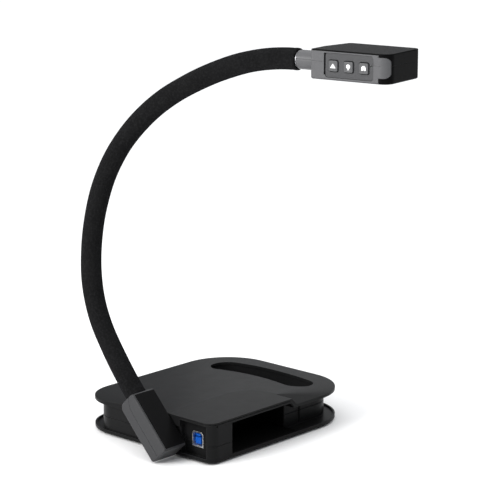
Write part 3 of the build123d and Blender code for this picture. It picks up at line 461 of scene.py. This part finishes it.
# ---- mesh helpers ----
def add_mesh(name, vertices, faces, material, smooth=True):
    mesh = bpy.data.meshes.new(name)
    mesh.from_pydata([tuple(v) for v in vertices], [], faces)
    mesh.materials.append(material)
    mesh.validate()
    if smooth:
        mesh.shade_smooth()
    piece = bpy.data.objects.new(name, mesh)
    bpy.context.scene.collection.objects.link(piece)
    return piece


def reach(node, direction):
    """Lowest and highest place of a CAD node along a direction."""
    along = [direction.dot(vertex.co) for vertex in NODES[node].data.vertices]
    return min(along), max(along)


# ---- the gooseneck's line, from its joints ----
LEAN = math.radians(43.0)
BLOCK_UP = Vector((0.0, math.sin(LEAN), math.cos(LEAN)))
BENDS = [JOINTS[f"neck_bend_{k}"] for k in range(1, 7)]
BEND_AXIS = Vector(BENDS[0]["axis"]).normalized()
NECK_END = Vector(JOINTS["head_swivel"]["pos_m"])
HEAD_FORWARD = Vector(JOINTS["head_swivel"]["axis"]).normalized()
HEAD_ACROSS = Vector(JOINTS["rotate_press"]["axis"]).normalized()


def arc_step(direction, turn, radius):
    """How far an arc goes from its start when it has turned that much."""
    centre = BEND_AXIS.cross(direction) * radius
    return centre - Matrix.Rotation(turn, 3, BEND_AXIS) @ centre


def neck_arcs():
    """(start, direction, turn, length) of each bend, from the block to the collar."""
    knots = [Vector(bend["pos_m"]) for bend in BENDS] + [NECK_END]
    direction = HEAD_FORWARD
    arcs = []
    length = 0.0
    for start, end in reversed(list(zip(knots, knots[1:]))):
        turn = 2 * (end - start).angle(direction)
        length = (end - start).length * (turn / 2) / math.sin(turn / 2)
        direction = Matrix.Rotation(-turn, 3, BEND_AXIS) @ direction
        arcs.insert(0, (start, direction, turn, length))
    turn = BLOCK_UP.angle(direction)
    start = knots[0] - arc_step(BLOCK_UP, turn, length / turn)
    return [(start, BLOCK_UP, turn, length)] + arcs


ARCS = neck_arcs()
PITCH = ARCS[0][3]
NECK_LENGTH = PITCH * len(ARCS)
SLEEVE_TAIL = 3.0 * MM
SLEEVE_TOP = NECK_LENGTH + SLEEVE_TAIL


def neck_at(distance):
    """Place and direction on the gooseneck's line, which runs straight on past the last bend."""
    if distance > NECK_LENGTH:
        return NECK_END + HEAD_FORWARD * (distance - NECK_LENGTH), HEAD_FORWARD
    index = min(int(distance / PITCH), len(ARCS) - 1)
    start, direction, turn, length = ARCS[index]
    share = (distance - index * PITCH) / length
    place = start + arc_step(direction, turn * share, length / turn)
    return place, Matrix.Rotation(turn * share, 3, BEND_AXIS) @ direction


# ---- sleeve ----
SLEEVE_R = 9.42 * MM
SLEEVE_BORE = 7.35 * MM
SLEEVE_SIDES = 72
STITCHES_ROUND = 66
STITCH_ROW = 0.75 * MM
RING_STEP = 1.0 * MM
SLEEVE_START = 0.1 * MM
LIP_LENGTH = 1.4 * MM


def lip(distance, inward):
    """Profile of a finished end, from inside the bore round the folded hem to the outside."""
    profile = []
    for step, radius in ((9.0, SLEEVE_BORE), (4.0, SLEEVE_BORE), (1.2, SLEEVE_BORE)):
        profile.append((distance + inward * step * MM, radius))
    middle = (SLEEVE_BORE + SLEEVE_R) / 2
    half = (SLEEVE_R - SLEEVE_BORE) / 2
    for turn in range(1, 8):
        angle = math.pi * turn / 8
        profile.append((distance + inward * half * (1 - math.sin(angle)), middle - half * math.cos(angle)))
    return profile


def sleeve_radius(distance):
    """A hem stands slightly proud at each end, and the foam under the knit is never quite even."""
    from_end = min(distance, SLEEVE_TOP - distance)
    hem = 0.08 * MM * math.exp(-((from_end - 2.4 * MM) / (1.6 * MM)) ** 2)
    dip = -0.10 * MM * math.exp(-((from_end - 5.6 * MM) / (1.3 * MM)) ** 2)
    uneven = 0.05 * MM * math.sin(distance * 71.0) + 0.035 * MM * math.sin(distance * 163.0 + 1.3)
    return SLEEVE_R + hem + dip + uneven


def sleeve_profile(first, last):
    """(distance, radius) pairs along one piece, with its finished ends."""
    at_start = first <= 0.001
    at_end = last >= SLEEVE_TOP - 0.001
    profile = lip(first, 1.0) if at_start else []
    low = first + (LIP_LENGTH if at_start else 0.0)
    high = last - (LIP_LENGTH if at_end else 0.0)
    count = round((high - low) / RING_STEP)
    for step in range(count + 1):
        distance = low + (high - low) * step / count
        profile.append((distance, sleeve_radius(distance)))
    return profile + (lip(last, -1.0)[::-1] if at_end else [])


def sleeve_piece(name, first, last):
    profile = sleeve_profile(first, last)
    vertices = []
    for distance, radius in profile:
        place, direction = neck_at(distance)
        inward = BEND_AXIS.cross(direction)
        for side in range(SLEEVE_SIDES):
            angle = 2 * math.pi * side / SLEEVE_SIDES
            vertices.append(place + (BEND_AXIS * math.cos(angle) + inward * math.sin(angle)) * radius)
    faces = []
    uvs = []
    run = 0.0
    runs = [profile[0][0]]
    for before, after in zip(profile, profile[1:]):
        run += math.hypot(after[0] - before[0], after[1] - before[1])
        runs.append(profile[0][0] + run)
    for ring in range(len(profile) - 1):
        for side in range(SLEEVE_SIDES):
            right = (side + 1) % SLEEVE_SIDES
            a = ring * SLEEVE_SIDES
            b = a + SLEEVE_SIDES
            faces.append((a + side, a + right, b + right, b + side))
            u0 = STITCHES_ROUND * side / SLEEVE_SIDES
            u1 = STITCHES_ROUND * (side + 1) / SLEEVE_SIDES
            v0 = runs[ring] / STITCH_ROW
            v1 = runs[ring + 1] / STITCH_ROW
            uvs += [(u0, v0), (u1, v0), (u1, v1), (u0, v1)]
    piece = add_mesh(name, vertices, faces, MATERIALS["sleeve_fabric"])
    layer = piece.data.uv_layers.new(name="knit")
    layer.data.foreach_set("uv", np.array(uvs, np.float32).ravel())
    return piece


def add_sleeve():
    """Each piece spans one bend and meets the next halfway between bends; it hides the CAD sleeves it stands for.
    """
    count = len(BENDS)
    for index, bend in enumerate(BENDS):
        first = SLEEVE_START if index == 0 else (index + 0.5) * PITCH
        last = SLEEVE_TOP if index == count - 1 else (index + 1.5) * PITCH
        piece = sleeve_piece(f"sleeve_cloth_{index + 1}", first, last)
        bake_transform(piece)
        stands_for = [index + 1] if index < count - 1 else [count, count + 1]
        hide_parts(*[f"sleeve_{k}" for k in stands_for])


# ---- key symbols ----
SYMBOL_PROUD = 0.03 * MM
SYMBOL_SUNK = 0.05 * MM


def circle_points(x, z, radius, start=0.0, end=360.0, count=24):
    angles = [math.radians(start + (end - start) * step / count) for step in range(count + 1)]
    return [(x + radius * math.cos(a), z + radius * math.sin(a)) for a in angles]


def arrow_outline():
    return [[(-2.5, -1.75), (2.5, -1.75), (2.5, -1.45), (0.2, 1.9), (-0.2, 1.9), (-2.5, -1.45)]]


def lamp_outline():
    bulb = circle_points(0.0, 0.55, 1.85, -55.0, 235.0)
    return [bulb + [(-0.85, -1.6), (0.85, -1.6)], [(-0.8, -2.35), (0.8, -2.35), (0.8, -1.9), (-0.8, -1.9)]]


def freeze_outline():
    body = circle_points(0.0, 0.15, 2.1, -20.0, 200.0)
    return [body + [(-2.2, -1.7), (-0.7, -1.7), (0.0, -0.95), (0.7, -1.7), (2.2, -1.7)]]


def add_symbol(key, body, outline):
    """Thin printed symbol on a key's face; it rides on the key."""
    along = sum(reach(key, HEAD_FORWARD)) / 2
    up = sum(reach(key, Vector((0, 0, 1)))) / 2
    face = reach(key, HEAD_ACROSS)[0]
    origin = HEAD_FORWARD * along + Vector((0, 0, up))
    vertices = []
    faces = []
    for shape in outline:
        first = len(vertices)
        count = len(shape)
        for lift in (SYMBOL_PROUD, -SYMBOL_SUNK):
            for x, z in shape:
                place = origin + HEAD_FORWARD * x * MM + Vector((0, 0, z * MM))
                vertices.append(place + HEAD_ACROSS * (face - lift))
        faces.append(tuple(first + i for i in range(count)))
        for i in range(count):
            j = (i + 1) % count
            faces.append((first + i, first + count + i, first + count + j, first + j))
    piece = add_mesh(key.replace("_key", "_symbol"), vertices, faces, SYMBOL_WHITE, smooth=False)
    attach(piece, body)


# ---- socket contacts ----
CONTACT_T = 0.2 * MM
CONTACT_ROUND = 0.07 * MM
WIDE_PITCH = 2.5 * MM
NARROW_PITCH = 1.0 * MM


def add_strip(mesh, low, high):
    """Spring contact with a rounded nose, between two corners."""
    made = bmesh.ops.create_cube(mesh, size=1.0)
    size = Vector(high) - Vector(low)
    middle = (Vector(high) + Vector(low)) / 2
    bmesh.ops.scale(mesh, vec=size, verts=made["verts"])
    bmesh.ops.translate(mesh, vec=middle, verts=made["verts"])
    edges = list({edge for vertex in made["verts"] for edge in vertex.link_edges})
    bmesh.ops.bevel(mesh, geom=edges, offset=CONTACT_ROUND, segments=2, affect="EDGES")


def add_contacts():
    low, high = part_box("usb_socket_tongue")
    middle = (low.y + high.y) / 2
    mesh = bmesh.new()
    for step in range(2):
        y = middle + (step - 0.5) * WIDE_PITCH
        for z in (low.z - 0.12 * MM, low.z + 5.52 * MM):
            front, back = low.x + 0.6 * MM, low.x + 8 * MM
            add_strip(mesh, (front, y - 0.5 * MM, z), (back, y + 0.5 * MM, z + CONTACT_T))
    for step in range(5):
        y = middle + (step - 2) * NARROW_PITCH
        z = high.z - 1.72 * MM
        add_strip(mesh, (low.x + 0.5 * MM, y - 0.3 * MM, z), (low.x + 7 * MM, y + 0.3 * MM, z + CONTACT_T))
    data = bpy.data.meshes.new("socket_contacts")
    mesh.to_mesh(data)
    mesh.free()
    data.materials.append(CONTACT_GOLD)
    piece = bpy.data.objects.new("socket_contacts", data)
    bpy.context.scene.collection.objects.link(piece)
    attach(piece, "base")


def add_floor():
    s = Surface("studio_floor", 0.9, specular=0.1)
    tone = s.mix(s.noise(0.6, 2.0), (0.9, 0.9, 0.9), (0.92, 0.92, 0.92))
    span = FLOOR_SPAN
    corners = [(-span, -span, 0), (span, -span, 0), (span, span, 0), (-span, span, 0)]
    floor = add_mesh("floor", corners, [(0, 1, 2, 3)], s.finish(tone), smooth=False)


bpy.context.scene.view_settings.view_transform = "Standard"
add_camera()
add_studio()
add_floor()
dress_cad_nodes()
add_sleeve()
add_symbol("rotate_key", "rotate_button", arrow_outline())
add_symbol("lamp_key", "lamp_button", lamp_outline())
add_symbol("freeze_key", "freeze_button", freeze_outline())
add_contacts()
